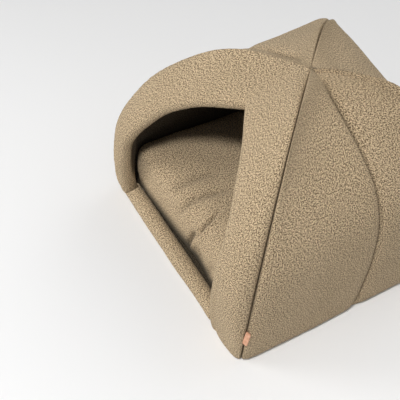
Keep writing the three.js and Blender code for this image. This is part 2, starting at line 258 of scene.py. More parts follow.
# where the pile sets in: a start, and the length over which it does
SEAM_PILE = (0.0012, 0.006)
FOOT_PILE = (0, 0.012)
CUSHION_PILE = (0.012, 0.012)
SILL_PILE = (0.002, 0.008)
SILL_END_PILE = (0.03, 0.02)
FLOOR_PILE = (0.006, 0.002)
# shares of it on the walls' inner side, behind the arch and on the floor pad
INNER_SHARE, BACK_SHARE, FLOOR_SHARE = 0.5, 0.6, 0.4
# rows at the apex that it leaves as they are
APEX_ROWS = 3
# the number that each piece's noise starts from
SEEDS = {
    "front_arch": 11,
    "right_front_wall": 21,
    "right_rear_wall": 22,
    "left_front_wall": 31,
    "left_rear_wall": 32,
    "back_wall": 41,
    "sill_roll": 51,
    "floor": 61,
    "loose_cushion": 71,
}

# Numbers of points

SIDE_POINTS = {"columns": 120, "rows": 290}
BACK_POINTS = {"columns": 170, "rows": 220}
# columns of a wall's outer skin for each column of its inner skin
INNER_COARSER = 3
FRONT_POINTS = {"stations": 600, "face": 56, "arc": 26, "back": 16}
CUSHION_POINTS = {"rings": 125, "steps": 600}
TAG_POINTS = {"side": 12, "bend": 9, "up": 22}
SILL_SKIN = {"voxel": 0.0022, "rounds": 6}
FLOOR_SKIN = {"voxel": 0.0045, "rounds": 3}
# how much closer the points lie at the ends of a row
OUTER_FINER, INNER_FINER, BACK_FINER = 0.72, 0.5, 0.3
# the same for the front's face beside its seam
FACE_POWER = 1.5
# the share of the face from which the direction at its edge is read
FACE_BEFORE = 0.75
# points across a panel's edge, in shares of the way between its skins
EDGE_STEPS = np.array([0.12, 0.3, 0.55, 0.8])
CREASE_STEPS = 40
LENGTH_STEPS = 1001
FINE_STEPS = 4001


# Curves

def rising(value, start, over):
    """0 up to the start, 1 from the length over past it, even between."""
    return np.clip((value - start) / over, 0, 1)


def falling(value, over):
    """1 at 0, 0 from over on, even between."""
    return np.clip(1 - value / over, 0, 1)


def bell(value, middle, width):
    """1 in the middle, running out on either side."""
    return np.exp(-(((value - middle) / width) ** 2))


def spline(rows, t):
    """A curve through the rows at t from 0 to 1."""
    place = np.clip(t, 0, 1) * (len(rows) - 1)
    i = np.minimum(place.astype(int), len(rows) - 2)
    w = (place - i)[..., None]
    p0, p1, p2 = rows[np.maximum(i - 1, 0)], rows[i], rows[i + 1]
    p3 = rows[np.minimum(i + 2, len(rows) - 1)]
    v0, v1 = (p2 - p0) / 2, (p3 - p1) / 2
    return (2 * p1 - 2 * p2 + v0 + v1) * w**3 + (-3 * p1 + 3 * p2 - 2 * v0 - v1) * w**2 + v0 * w + p1


def by_length(rows, share):
    """The t at which a share of the curve's length is passed."""
    t = np.linspace(0, 1, LENGTH_STEPS)
    points = spline(rows, t)
    run = np.concatenate([[0], np.cumsum(np.linalg.norm(np.diff(points, axis=0), axis=1))])
    return np.interp(np.asarray(share) * run[-1], run, t)


def station_at(up):
    """The station along the ridge at a height below its crest."""
    t = np.linspace(0, 1, FINE_STEPS)
    y = spline(RIDGE, t)[:, 1]
    crest = int(np.argmax(y))
    return np.interp(up, y[:crest], t[:crest])


def inner_line(rows, t, depth, spread):
    """The curve's inner side, below the padding. spread is how much longer a diagonal is than its reach."""
    step = 1e-4
    points = spline(rows, t)
    tangent = spline(rows, t + step) - spline(rows, t - step)
    normal = np.stack([-tangent[..., 1], np.minimum(tangent[..., 0] * spread, 0)], -1)
    normal /= np.linalg.norm(normal, axis=-1, keepdims=True)
    near = np.minimum(1, points[..., 0] / (2 * depth))
    x = points[..., 0] + depth * normal[..., 0] * near / spread
    y = points[..., 1] + depth * normal[..., 1]
    return np.stack([x, np.where(t <= 0, 0, y)], -1)


def wall_point(middle, skin, t, across):
    """Sideways, outwards and up to a point of a wall whose middle follows a curve."""
    if skin == "outer":
        ridge, centre = spline(RIDGE, t), spline(middle, t)
    else:
        ridge, centre = inner_line(RIDGE, t, RIDGE_WALL, math.sqrt(2)), inner_line(middle, t, WALL, 1)
    fullness = 1 - np.abs(across) ** spline(SQUARES, t)[..., 0]
    lateral = across * (ridge[..., 0] - GAP * math.sqrt(0.5))
    outward = ridge[..., 0] + (centre[..., 0] - ridge[..., 0]) * fullness
    up = ridge[..., 1] + (centre[..., 1] - ridge[..., 1]) * fullness
    return np.stack([lateral, outward, up], -1)


def towards(start, end, distance):
    """The points of start, moved by a distance towards those of end."""
    tiny = 1e-9
    way = end - start
    return start + way / np.maximum(np.linalg.norm(way, axis=-1, keepdims=True), tiny) * distance[..., None]


def finer_at_ends(count, share):
    """Places from 0 to 1 that lie closer together at both ends."""
    s = np.linspace(0, 1, count)
    return (1 - share) * s + share * (1 - np.cos(math.pi * s)) / 2


# Seams and folds of the hood

def sunk(reach, seam):
    """How far a seam is sunk at a reach, from 0 to 1."""
    start, full = SINKS[seam]
    return rising(reach, start, full - start)


def drawn_in(distance, t, reach, seam, wall):
    """How deep the cloth lies at a distance from a seam: rounded edges with a narrow slot between them."""
    near = bell(t, CORNER["station"], CORNER["length"]) * (seam == CORNER["seam"])
    corner = 1 + CORNER["more"] * near
    crisp = rising(t, CRISP_FROM, CRISP_AT - CRISP_FROM)
    deep, wide = (a + (b - a) * crisp for a, b in zip(SEAM, SEAM_AT.get((wall, seam), SEAM)))
    share = falling(distance, wide * corner)
    valley = deep * corner * (1 - np.sqrt(1 - share**2))
    if (wall, seam) == RIM_EDGE:
        for height, place, width in RIM:
            valley = valley - height * bell(distance, place, width)
    valley += CORNER["fold"] * near * falling(distance, CORNER["width"]) ** 2
    slot = SLOT["depth"] * np.exp(-distance / SLOT["width"])
    foot = SEAM_FOOT["share"] + (1 - SEAM_FOOT["share"]) * rising(t, 0, SEAM_FOOT["station"])
    return (valley + slot) * foot * sunk(reach, seam)


def stitch_and_seam_shade(distance, t, reach, seam):
    """How dark the pile is drawn at a distance from a seam: a dark stitched line with painted shade."""
    shade = STITCH_AND_SEAM_SHADE["shade"] * rising(t, 0, STITCH_AND_SEAM_SHADE["station"])
    return shade * bell(distance, 0, STITCH_AND_SEAM_SHADE["width"]) * sunk(reach, seam)


def painted_crevice_shade(distance, reach):
    """Painted shade beside the far right seam, darkest near the apex."""
    near = rising(reach, 0, PAINTED_CREVICE_SHADE["starts"]) * bell(reach, 0, PAINTED_CREVICE_SHADE["length"])
    return PAINTED_CREVICE_SHADE["shade"] * near * np.exp(-((distance / PAINTED_CREVICE_SHADE["width"]) ** PAINTED_CREVICE_SHADE["edge"]))


def sag(wall, t, across):
    """How far the cloth of a wall hangs in round the shoulder."""
    if wall not in SAG:
        return 0
    depth = spline(SAG[wall][:, None], (across + 1) / 2)[..., 0]
    return depth * bell(t, SHOULDER["station"], SHOULDER["width"])


def bulge(panel, t, place):
    """How far the padding stands out at a place from 0 to 1 between two seams."""
    return BULGE[panel] * bell(t, BULGE_AT["station"], BULGE_AT["width"]) * 4 * place * (1 - place)


def dent(points):
    """How deep the cushion presses the padding in at points of the wall's inner side."""
    along = (points[..., 0] - PRESSED["along"]) / PRESSED["length"]
    up = (points[..., 2] - PRESSED["up"]) / PRESSED["height"]
    return PRESSED["depth"] * np.exp(-(along**4) - up**4)


def pushed_corner(points):
    """The points, those round the far corner pushed out."""
    gap = np.sum((points - CORNER_PUSH["place"]) ** 2, -1) / CORNER_PUSH["reach"] ** 2
    return points + np.exp(-gap)[..., None] * CORNER_PUSH["way"]


# Noise

# large primes and shifts that mix the bits of a grid point's whole numbers
AXIS_PRIMES = (73856093, 19349663, 83492791)
SEED_PRIME = 2654435761
MIXES = ((13, 1274126177), (16, 2246822519))
LAST_SHIFT = 15
# keeps the numbers of the grid above 0
GRID_START = 1000.0


def lattice(i, j, k, seed):
    """A number from -1 to 1 for each point of a grid, the same in every run."""
    h = (i * AXIS_PRIMES[0]) ^ (j * AXIS_PRIMES[1]) ^ (k * AXIS_PRIMES[2]) ^ (seed * SEED_PRIME)
    for shift, prime in MIXES:
        h = (h ^ (h >> shift)) * prime & 0xFFFFFFFF
    return ((h ^ (h >> LAST_SHIFT)) & 0xFFFF) / 32767.5 - 1


def noise(points, size, seed):
    """Smooth noise from -1 to 1 with a grain of that size."""
    p = points / size + GRID_START
    base = np.floor(p).astype(np.int64)
    f = p - base
    f = f * f * (3 - 2 * f)
    total = np.zeros(len(points))
    for corner in range(8):
        a, b, c = corner & 1, corner >> 1 & 1, corner >> 2 & 1
        weight = np.abs(1 - a - f[:, 0]) * np.abs(1 - b - f[:, 1]) * np.abs(1 - c - f[:, 2])
        total += weight * lattice(base[:, 0] + a, base[:, 1] + b, base[:, 2] + c, seed)
    return total


# Meshes

def read_vectors(source, key):
    """The vectors of a mesh's list, a row each."""
    flat = np.empty(len(source) * 3, np.float32)
    source.foreach_get(key, flat)
    return flat.reshape(-1, 3).astype(float)


def write_points(mesh, points):
    """Moves the mesh's vertices to the points."""
    mesh.vertices.foreach_set("co", points.astype(np.float32).ravel())


def edge_ends(mesh):
    """The two vertices of each edge."""
    return np.array([edge.vertices[:] for edge in mesh.edges])


def cloth_lengths(loops, start):
    """Lengths across and along the cloth at each point of the loops, measured from the column start."""
    closed = np.concatenate([loops, loops[:, :1]], 1)
    across = np.cumsum(np.linalg.norm(np.diff(closed, axis=1), axis=2), 1)
    across = np.concatenate([np.zeros((len(loops), 1)), across], 1)
    along = np.cumsum(np.linalg.norm(np.diff(closed[:, :2 * start], axis=0), axis=2).mean(1))
    along = np.concatenate([[0], along])[:, None] + np.zeros_like(across)
    return np.stack([across - across[:, start:start + 1], along], -1)


def loft(name, loops, cloth):
    """A closed skin through the loops, each an equal ring of points, with a face over either end."""
    rows, count = loops.shape[:2]
    points = loops.reshape(-1, 3)
    index = np.arange(rows * count).reshape(rows, count)
    right = np.roll(index, -1, axis=1)
    quads = np.stack([index[:-1], right[:-1], right[1:], index[1:]], -1).reshape(-1, 4)
    marks = np.stack([cloth[:-1, :-1], cloth[:-1, 1:], cloth[1:, 1:], cloth[1:, :-1]], 2).reshape(-1, 4, 2)
    caps = [index[0, ::-1], index[-1]]
    corners = points[quads]
    a, b, c, d = (corners[:, i] for i in range(4))
    volume = np.sum(a * (np.cross(b, c) + np.cross(c, d)))
    if volume < 0:
        quads, marks, caps = quads[:, ::-1], marks[:, ::-1], [cap[::-1] for cap in caps]
    mesh = bpy.data.meshes.new(name)
    mesh.from_pydata(points.tolist(), [], quads.tolist() + [cap.tolist() for cap in caps])
    flat = np.concatenate([marks.reshape(-1, 2)] + [points[cap][:, :2] for cap in caps])
    return add_piece(name, mesh, flat)


def add_piece(name, mesh, flat):
    """An object with smooth faces, and the cloth's own lengths as its texture coordinates."""
    mesh.update()
    mesh.uv_layers.new(name="cloth").data.foreach_set("uv", flat.astype(np.float32).ravel())
    mesh.polygons.foreach_set("use_smooth", np.ones(len(mesh.polygons), bool))
    piece = bpy.data.objects.new(name, mesh)
    bpy.context.scene.collection.objects.link(piece)
    return piece


def dressed(piece, shade, weights, swell=SWELL, curl=CURL, creases=()):
    """The piece, its pile darkened by a shade from 0 to 1 and moved by the filling, its curls and creases."""
    mesh, seed = piece.data, SEEDS[piece.name]
    # notes how dark each point's pile is drawn: the hood's inner side, stitching, and painted shade
    attribute = mesh.attributes.new("dark_pile_and_painted_shade", "FLOAT", "POINT")
    attribute.data.foreach_set("value", shade.astype(np.float32).ravel())
    points = read_vectors(mesh.vertices, "co")
    normals = read_vectors(mesh.vertex_normals, "vector")
    move = swell * noise(points, SWELL_GRAIN, seed)
    move += FINE_SWELL * swell * noise(points, FINE_SWELL_GRAIN, seed + 1)
    move += curl * noise(points, CURL_GRAIN, seed + 2)
    move -= crease_depth(points, creases)
    points += normals * (weights.ravel() * move)[:, None]
    points[:, 2] = np.maximum(points[:, 2], 0)
    write_points(mesh, points)
    mesh.update()
    return piece


def bridge(start, end):
    """Points across the edge of a panel, from one skin to the other."""
    return start[:, None] + (end - start)[:, None] * EDGE_STEPS[None, :, None]


# turns a wall's sideways, outwards and up into the frame's x, y and z
SET_IN_WALL = {
    "right": lambda p: np.stack([p[..., 1], p[..., 0], p[..., 2]], -1),
    "left": lambda p: np.stack([-p[..., 1], p[..., 0], p[..., 2]], -1),
    "back": lambda p: np.stack([p[..., 0], p[..., 1], p[..., 2]], -1),
    "front": lambda p: np.stack([p[..., 0], -p[..., 1], p[..., 2]], -1),
}


# Walls

class Strip:
    """A wall panel's points: rows up the ridge, and places from 0 to 1 between its edges."""

    def __init__(self, wall, start, end, rows):
        self.wall = wall
        self.t = (by_length(RIDGE, np.linspace(0, 1, rows)) * LAST)[:, None]
        ridge = spline(RIDGE, self.t)
        self.reach, self.up = ridge[..., 0], ridge[..., 1]
        self.low = start + (start != -1) * GAP / self.reach
        self.high = end - (end != 1) * GAP / self.reach
        first, last = WALL_SEAMS[wall]
        self.seams = (first if start == -1 else "middle", last if end == 1 else "middle")

    def across(self, place):
        return self.low + (self.high - self.low) * place

    def skin(self, which, place):
        """The plain outer or inner skin, without folds."""
        return wall_point(SIDE, which, self.t, self.across(place))

    def from_edges(self, place):
        """Distances from the panel's first and last edge."""
        across = self.across(place)
        return (across - self.low) * self.reach, (self.high - across) * self.reach

    def by_seam(self, measure, place, *more):
        """What measure says of the first seam and of the last."""
        return [measure(distance, self.t, self.reach, seam, *more)
                for distance, seam in zip(self.from_edges(place), self.seams)]


def outer_skin(name, strip, place):
    """The outer cloth: drawn in along its seams, hanging in at the shoulder, bulging under the apex."""
    first, last = strip.by_seam(drawn_in, place, strip.wall)
    stronger = np.where(np.abs(first) > np.abs(last), first, last)
    depth = stronger + sag(strip.wall, strip.t, strip.across(place)) - bulge(name, strip.t, place)
    return towards(strip.skin("outer", place), strip.skin("inner", place), depth)


def inner_skin(name, strip, place):
    """The inner cloth, pressed in where the cushion lies."""
    inner = strip.skin("inner", place)
    if name == PRESSED["panel"]:
        inner = towards(inner, strip.skin("outer", place), dent(inner))
    return inner


def outer_shade(strip, place):
    """How dark the outer cloth's pile is drawn: stitching and painted shade in its seams, painted shade by
    the far right one.
    """
    shade = np.maximum(*strip.by_seam(stitch_and_seam_shade, place))
    # painted shade beside the far right seam
    if strip.seams[1] == PAINTED_CREVICE_SHADE["seam"]:
        shade = np.maximum(shade, painted_crevice_shade(strip.from_edges(place)[1], strip.reach))
    return shade


def wall_panel(name, wall, start, end, points):
    """A padded panel of a wall between two places across it."""
    columns = points["columns"]
    strip = Strip(wall, start, end, points["rows"])
    place = finer_at_ends(columns, OUTER_FINER)[None, :]
    outer = outer_skin(name, strip, place)
    inner = inner_skin(name, strip, finer_at_ends(columns // INNER_COARSER, INNER_FINER)[None, :])
    loops = np.concatenate([
        outer, bridge(outer[:, -1], inner[:, -1]), inner[:, ::-1], bridge(inner[:, 0], outer[:, 0]),
    ], 1)
    inner_from = columns + len(EDGE_STEPS)
    inner_to = inner_from + inner.shape[1]
    weights = np.zeros(loops.shape[:2])
    weights[:, :columns] = rising(np.minimum(*strip.from_edges(place)), *SEAM_PILE)
    weights[:, inner_from + 1:inner_to - 1] = INNER_SHARE
    weights *= rising(strip.up, *FOOT_PILE)
    weights[-APEX_ROWS:] = 0
    # the inner skin and the edges are drawn dark; the outer skin gets stitching and painted shade along its
    # seams
    shade = np.ones(loops.shape[:2])
    shade[:, :columns] = outer_shade(strip, place)
    piece = loft(name, pushed_corner(SET_IN_WALL[wall](loops)), cloth_lengths(loops, columns // 2))
    return dressed(piece, shade, weights)


# Front

class Arch:
    """The front's points, from its left foot over the top to its right, and from its seam to the opening."""

    def __init__(self, stations):
        way = np.linspace(-1, 1, stations)
        rise = 1 - np.abs(way)
        lip_place = by_length(LIP_LINE, rise)
        lip = spline(LIP_LINE, lip_place)
        self.place = (way + 1) / 2
        self.side = np.sign(way)[:, None]
        self.ridge_station = (by_length(RIDGE, rise) * LAST)[:, None]
        self.ridge_reach = spline(RIDGE, self.ridge_station)[..., 0]
        lift = spline(LIP_LIFT[:, None], self.place)[:, 0]
        self.lip_station = station_at(lip[:, 1] + lift)[:, None]
        self.lip_reach = self.side * lip[:, :1] - spline(LIP_LEAN, lip_place)[:, :1]
        self.seam_points = self.skins(np.zeros((1, 1)))[0]

    def skins(self, share):
        """The plain outer and inner skin at shares of the way from the seam to the opening."""
        t = self.ridge_station + (self.lip_station - self.ridge_station) * share
        seam_reach = self.side * self.ridge_reach
        reach = seam_reach + (self.lip_reach - seam_reach) * share
        across = reach / spline(RIDGE, t)[..., 0]
        return [SET_IN_WALL["front"](wall_point(FRONT, skin, t, across)) for skin in ("outer", "inner")]

    def by_seam(self, measure, distance, *more):
        """What measure says of the seam on the same side."""
        left, right = (measure(distance, self.ridge_station, self.ridge_reach, seam, *more)
                       for seam in FRONT_SEAMS)
        return np.where(self.side < 0, left, right)

    def face(self, share):
        """The face, crowned and drawn in along its seams, and its points' distances from the seam."""
        outer, inner = self.skins(share)
        crown = FRONT_CROWN["height"] * (4 * share * (1 - share)) ** FRONT_CROWN["power"]
        distance = np.linalg.norm(outer - self.seam_points, axis=-1)
        return towards(outer, inner, self.by_seam(drawn_in, distance, "front") - crown), distance

    def back(self, steps):
        """The inner skin from the opening to the seam, its padding thinner beside the opening."""
        share = finer_at_ends(steps, BACK_FINER)[None, ::-1]
        over, back = self.skins(share)
        thin = spline(LIP_THIN[:, None], self.place) * np.clip(2 * share - 1, 0, 1) ** 2
        return back + (over - back) * thin[..., None]

    def rounded_edge(self, face, back, angle):
        """The padded edge of the opening: half a turn from the face's edge to the back's."""
        middle = (face[:, -1] + back[:, 0]) / 2
        radius = face[:, -1] - middle
        ahead = face[:, -1] - self.face(np.full((1, 1), FACE_BEFORE**FACE_POWER))[0][:, 0]
        ahead -= radius * (np.sum(ahead * radius, 1) / np.sum(radius * radius, 1))[:, None]
        ahead *= (np.linalg.norm(radius, axis=1) / np.linalg.norm(ahead, axis=1))[:, None]
        return (middle[:, None] + radius[:, None] * np.cos(angle)[None, :, None]
                + ahead[:, None] * np.sin(angle)[None, :, None])


def front_panel(name):
    """The padded front with the rounded edge of its opening."""
    face_steps, back_steps = FRONT_POINTS["face"], FRONT_POINTS["back"]
    arch = Arch(FRONT_POINTS["stations"])
    face, distance = arch.face((np.linspace(0, 1, face_steps) ** FACE_POWER)[None, :])
    back = arch.back(back_steps)
    angle = np.linspace(0, math.pi, FRONT_POINTS["arc"])[1:-1]
    edge = arch.rounded_edge(face, back, angle)
    loops = np.concatenate([face, edge, back, bridge(back[:, -1], face[:, 0])], 1)
    loops[[0, -1], :, 2] = 0
    up = loops[..., 2]
    back_from = face_steps + len(angle)
    weights = np.zeros(loops.shape[:2])
    weights[:, :face_steps] = rising(distance, *SEAM_PILE)
    weights[:, face_steps:back_from] = 1
    weights[:, back_from:back_from + back_steps - 1] = BACK_SHARE
    weights *= rising(up, *FOOT_PILE)
    # the inner side is drawn dark from part way round the opening's edge; the face gets stitching and painted
    # shade
    shade = np.ones(loops.shape[:2])
    shade[:, face_steps:back_from] = rising(angle / math.pi, INNER_DARK_FROM, INNER_DARK_OVER)
    shade *= rising(up, INNER_DARK_FOOT[0], INNER_DARK_FOOT[1] - INNER_DARK_FOOT[0])
    shade[:, :face_steps] = arch.by_seam(stitch_and_seam_shade, distance)
    piece = loft(name, loops, cloth_lengths(loops, face_steps // 2))
    return dressed(piece, shade, weights)


# Cushion

def crease_depth(points, creases):
    """How deep the creases lie at the points: a furrow with a roll on its right, running out at its ends."""
    total = np.zeros(len(points))
    for width, depth, path in creases:
        way = spline(np.array(path) / 1000, np.linspace(0, 1, CREASE_STEPS))
        gaps = np.linalg.norm(points[:, None] - way[None], axis=2)
        nearest = np.argmin(gaps, 1)
        share = nearest / (len(way) - 1)
        inner = np.minimum(1, np.minimum(share, 1 - share) / CREASE_ENDS["over"])
        strength = depth * (CREASE_ENDS["keep"] + (1 - CREASE_ENDS["keep"]) * inner)
        near = gaps.min(1) / width
        right = points[:, 0] > way[nearest, 0]
        roll = right * CREASE_ROLL["height"] * bell(near, CREASE_ROLL["distance"], 1)
        total += strength * (bell(near, 0, 1) - roll)
    return total


def boxed_reach(a, b):
    """How far the cushion's boxed outline reaches in the direction a, b."""
    power = CUSHION["boxed"]
    return CUSHION["half"] / (np.abs(a) ** power + np.abs(b) ** power) ** (1 / power)


def even_turns(steps):
    """Directions at even lengths round the cushion's outline."""
    turn = np.linspace(0, 2 * math.pi, FINE_STEPS)
    reach = boxed_reach(np.cos(turn), np.sin(turn))
    lengths = np.hypot(np.diff(reach * np.cos(turn)), np.diff(reach * np.sin(turn)))
    run = np.concatenate([[0], np.cumsum(lengths)])
    return np.interp(np.linspace(0, run[-1], steps, endpoint=False), run, turn)


def cushion_outline(to_left, to_front, rings):
    """Inset and height of the cushion's outline, settled towards the front and full towards the left."""
    place = by_length(CUSHION_OUTLINE, np.linspace(0, 1, rings))[:, None]
    settled = to_front[..., None] ** 3
    full = to_left[..., None] ** 3
    outline = spline(CUSHION_OUTLINE, place) * (1 - settled - full)
    outline = outline + spline(CUSHION_FRONT, place) * settled + spline(CUSHION_LEFT, place) * full
    return np.maximum(outline[..., 0], 0), np.maximum(outline[..., 1], 0)


def cushion_rings(a, b, rings):
    """Rings of points from the cushion's underside to its crown, in the directions a, b."""
    to_left, to_front = np.clip(-a, 0, 1), np.clip(-b, 0, 1)
    inset, up = cushion_outline(to_left, to_front, rings)
    out = boxed_reach(a, b) - CUSHION["draw"] * (a * a - b * b) ** 2 - inset
    aside = (a * out - PINCH["x"]) / PINCH["width"]
    pinch = np.where(b < 0, PINCH["depth"] * np.exp(-aside**2 - inset / PINCH["width"]), 0)
    left = to_left**3 * rising(up, 0, FULL["up"]) * falling(inset, FULL["inset"])
    x = a * (out + CUSHION["widen"]) - left * FULL["left"]
    rightness = np.clip(0.5 + x / TUCK["span"], 0, 1)
    tuck = (TUCK["left"] + (TUCK["right"] - TUCK["left"]) * rightness) * falling(up, TUCK["height"])
    y = CUSHION["middle"] + b * out + pinch + to_front * tuck
    corner = (2 * to_left * to_front) ** 2 * rising(up, 0, FULL_CORNER["up"])
    filled = FULL_CORNER["share"] * np.minimum(inset, FULL_CORNER["most"]) * falling(inset, FULL["inset"])
    x = x - corner * (FULL_CORNER["left"] + filled)
    y = y - corner * (FULL_CORNER["front"] + filled)
    return np.stack([x, y, FLOOR + GAP + up], -1)


def cushion(name):
    """The loose filled cushion, with its creases. Its cloth's lengths are measured from its crown."""
    steps = CUSHION_POINTS["steps"]
    turn = even_turns(steps)
    a, b = np.cos(turn)[None, :], np.sin(turn)[None, :]
    loops = cushion_rings(a, b, CUSHION_POINTS["rings"])
    centre = np.array([0, CUSHION["middle"], CUSHION_OUTLINE[-1, 1] + FLOOR + GAP])
    crown = np.array([loops[-1] * share + centre * (1 - share) for share in CROWN_SHARES])
    loops = np.concatenate([loops, crown], 0)
    run = np.linalg.norm(np.diff(loops, axis=0), axis=2)
    from_crown = np.concatenate([np.cumsum(run[::-1], 0)[::-1], np.zeros((1, steps))], 0)
    cloth = np.stack([a * from_crown, b * from_crown], -1)
    piece = loft(name, loops, np.concatenate([cloth, cloth[:, :1]], 1))
    up = loops[..., 2]
    creased = crease_depth(loops.reshape(-1, 3), CREASES).reshape(up.shape)
    # painted shade in the creases and on the foot beside the sill
    painted_crease_shade = PAINTED_CREASE_AND_GAP_SHADE["shade"] * rising(creased, 0, PAINTED_CREASE_AND_GAP_SHADE["depth"])
    shade = np.maximum(painted_crease_shade, rising(PAINTED_CREASE_AND_GAP_SHADE["gap"] - up, 0, PAINTED_CREASE_AND_GAP_SHADE["over"]))
    return dressed(piece, shade, rising(up, *CUSHION_PILE), swell=CUSHION_SWELL, creases=CREASES)


# Sill and floor pad

def smoothed(points, edges, rounds):
    """The points, each moved half of the way to the middle of its neighbours in every round."""
    count = np.zeros(len(points))
    np.add.at(count, edges.ravel(), 1)
    for _ in range(rounds):
        total = np.zeros_like(points)
        np.add.at(total, edges[:, 0], points[edges[:, 1]])
        np.add.at(total, edges[:, 1], points[edges[:, 0]])
        points = points * 0.5 + total / count[:, None] * 0.5
    return points


def body_labels(mesh):
    """A number for each vertex, the same for all that are joined by edges."""
    edges = edge_ends(mesh)
    label = np.arange(len(mesh.vertices))
    while True:
        lowest = label.copy()
        for ends in (edges, edges[:, ::-1]):
            np.minimum.at(lowest, ends[:, 0], label[ends[:, 1]])
        if (lowest == label).all():
            return label
        label = lowest[lowest]


def keep_main_body(mesh):
    """Deletes what is not joined to the largest body of the mesh."""
    label = body_labels(mesh)
    largest = np.argmax(np.bincount(label))
    shape = bmesh.new()
    shape.from_mesh(mesh)
    stray = [vertex for vertex, body in zip(shape.verts, label) if body != largest]
    bmesh.ops.delete(shape, geom=stray, context="VERTS")
    shape.to_mesh(mesh)
    shape.free()


def even_mesh(name, node, voxel):
    """A mesh of even faces over a solid of the frame."""
    source = bpy.data.objects.new(name + "_source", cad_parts[node].data.copy())
    bpy.context.scene.collection.objects.link(source)
    modifier = source.modifiers.new("even", "REMESH")
    modifier.mode = "VOXEL"
    modifier.voxel_size = voxel
    graph = bpy.context.evaluated_depsgraph_get()
    mesh = bpy.data.meshes.new_from_object(source.evaluated_get(graph))
    bpy.data.objects.remove(source)
    mesh.name = name
    mesh.materials.clear()
    keep_main_body(mesh)
    return mesh


def remeshed(name, node, skin, lay):
    """A piece with an even, smoothed skin over a solid. lay gives the cloth's lengths at its points."""
    mesh = even_mesh(name, node, skin["voxel"])
    points = smoothed(read_vectors(mesh.vertices, "co"), edge_ends(mesh), skin["rounds"])
    write_points(mesh, points)
    corners = np.empty(len(mesh.loops), np.int32)
    mesh.loops.foreach_get("vertex_index", corners)
    return add_piece(name, mesh, lay(points)[corners]), points


def sill(name):
    """The padded roll across the foot of the opening."""
    low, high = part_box("sill")
    axis_y, radius = (low.y + high.y) / 2, high.z / 2

    def lay(points):
        turn = np.arctan2(points[:, 1] - axis_y, points[:, 2] - radius)
        return np.stack([points[:, 0], turn * radius], -1)

    piece, points = remeshed(name, "sill", SILL_SKIN, lay)
    x, y, z = points.T
    # painted shade on the sill's back and foot
    shade = rising(y, axis_y, radius) * rising(SILL_SHADE_TOP * radius - z, 0, radius)
    from_ends = np.minimum(x - low.x, high.x - x)
    drawn = SILL_ENDS["drawn"] * falling(from_ends, SILL_ENDS["length"])
    points[:, 0] += np.where(x < (low.x + high.x) / 2, drawn, -drawn)
    write_points(piece.data, points)
    return dressed(piece, shade, rising(z, *SILL_PILE) * rising(from_ends, *SILL_END_PILE))


def floor_pad(name):
    """The thin pad under the cushion, its pile drawn dark all over as painted shade."""
    piece, points = remeshed(name, "floor_pad", FLOOR_SKIN, lambda points: points[:, :2])
    weights = FLOOR_SHARE * rising(points[:, 2], *FLOOR_PILE)
    # the whole pad is drawn dark: painted shade under the cushion
    return dressed(piece, np.ones(len(points)), weights, swell=FLOOR_SWELL, curl=FLOOR_CURL)


# Tag

def tag_line():
    """The inner side of the folded strip: out along one side, round the bend and back."""
    inner, bow = TAG["inner"], TAG["bow"]
    out = TAG["reach"] - inner - TAG["strip"]
    run = np.linspace(0, 1, TAG_POINTS["side"])
    bend = np.linspace(-math.pi / 2, math.pi / 2, TAG_POINTS["bend"])[1:-1]
    line = [(s * out, -inner - bow * math.sin(math.pi * s)) for s in run]
    line += [(out + inner * math.cos(b), inner * math.sin(b)) for b in bend]
    line += [(s * out, inner + bow * math.sin(math.pi * s)) for s in run[::-1]]
    return np.array(line)


def tag_ring(section, level):
    """The strip's section at a level from 0 to 1, rounded off at the top and the foot."""
    from_end = min(level, 1 - level) * TAG["height"]
    cut = TAG_ENDS["cut"] * max(0.0, 1 - from_end / TAG_ENDS["height"]) ** 2
    ring = section * (1 - cut / TAG["reach"])
    lean = TAG_LEAN["middle"] * math.sin(math.pi * level)
    y = ring[:, 1] + lean * ring[:, 0] / TAG["reach"]
    return np.stack([ring[:, 0], y, np.full(len(ring), level * TAG["height"])], 1)


def tag(name):
    """A strip folded in two, its ends in the seam, leaning on the right wall."""
    line = tag_line()
    way = np.gradient(line, axis=0)
    way /= np.linalg.norm(way, axis=1, keepdims=True)
    normal = np.stack([way[:, 1], -way[:, 0]], 1)
    section = np.concatenate([line + normal * TAG["strip"], line[::-1]])
    loops = np.array([tag_ring(section, level) for level in np.linspace(0, 1, TAG_POINTS["up"])])
    low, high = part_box("tag")
    corner = Vector((low.x, (low.y + high.y) / 2, high.z - TAG["height"]))
    angle = math.radians(TAG_LEAN["turn"])
    x = loops[..., 0] * math.cos(angle) - loops[..., 1] * math.sin(angle)
    y = loops[..., 0] * math.sin(angle) + loops[..., 1] * math.cos(angle)
    x += corner.x - x.min()
    y += corner.y - (y.min() + y.max()) / 2 - TAG_LEAN["foot"] * (1 - loops[..., 2] / TAG["height"])
    loops = np.stack([x, y, loops[..., 2] + corner.z], -1)
    return loft(name, loops, cloth_lengths(loops, len(line) // 2))


# Materials

